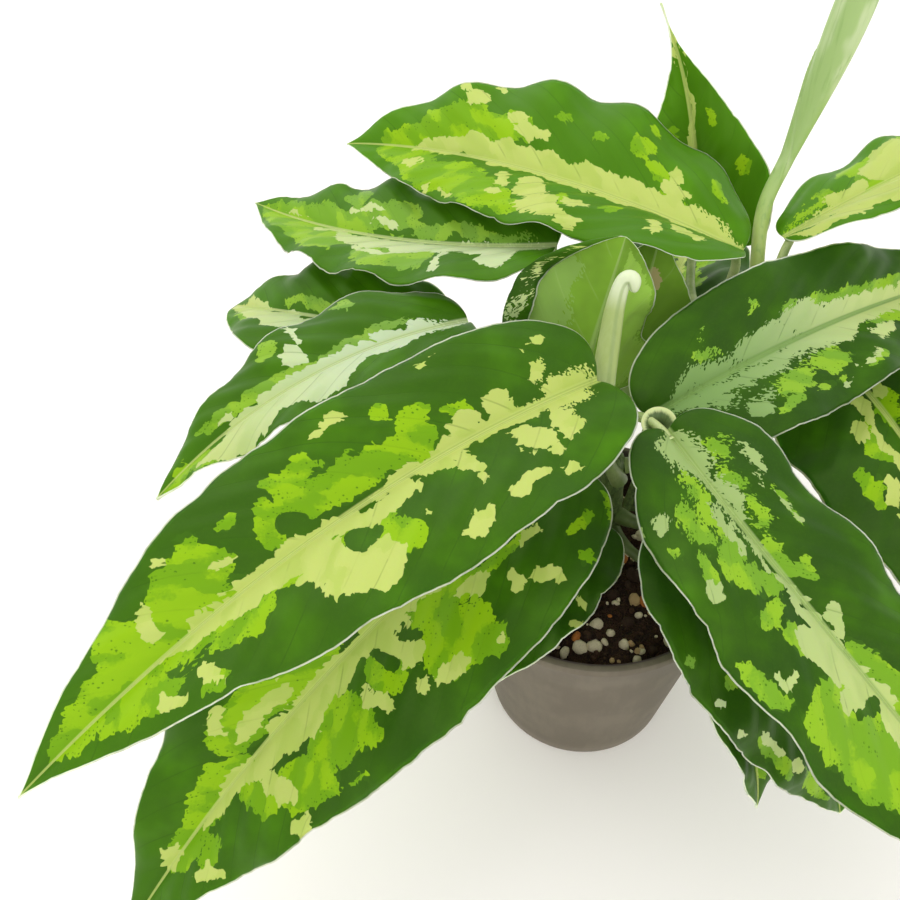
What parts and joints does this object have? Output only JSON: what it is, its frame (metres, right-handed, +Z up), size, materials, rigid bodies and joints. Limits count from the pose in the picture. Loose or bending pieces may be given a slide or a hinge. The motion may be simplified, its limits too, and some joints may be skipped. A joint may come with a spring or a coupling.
{
  "type": "potted plant",
  "caption": "Potted chinese evergreen: broad pointed patterned leaves on canes, a rolled new leaf and a bud, in a small tapered nursery pot of soil.",
  "frame": {"origin": "centre of the pot's flat base, on its underside", "axes": "+Z up; +X to the right and +Y away as seen in the picture"},
  "size_m": [0.3257, 0.2856, 0.25],
  "materials": {
    "pot": "matte",
    "soil": "rough, moist potting soil",
    "cane": "satin plant stem",
    "leaf": "satin green leaf with lime and cream patches",
    "pale_leaf": "satin pale leaf underside",
    "new_leaf": "smooth pale green rolled leaf",
    "bud": "smooth pale bud"
  },
  "bodies": {
    "root": {"pot": "pot", "soil": "soil", "cane_front": "cane", "cane_right": "cane", "cane_left": "cane", "leaf_front_left": "leaf", "leaf_lower_left": "leaf", "leaf_under_left": "leaf", "leaf_front_right": "leaf", "leaf_right": "leaf", "leaf_hood": "pale_leaf", "leaf_hood_right": "pale_leaf", "leaf_low_right": "leaf", "leaf_drooping": "leaf", "leaf_top_left": "leaf", "leaf_upper_right": "leaf", "leaf_upright": "leaf", "leaf_behind_right": "leaf", "leaf_back": "leaf", "leaf_middle_left": "leaf", "leaf_side_left": "leaf", "leaf_hidden_left": "leaf", "new_leaf_rolled": "new_leaf", "flower_bud": "bud"}
  },
  "joints": []
}
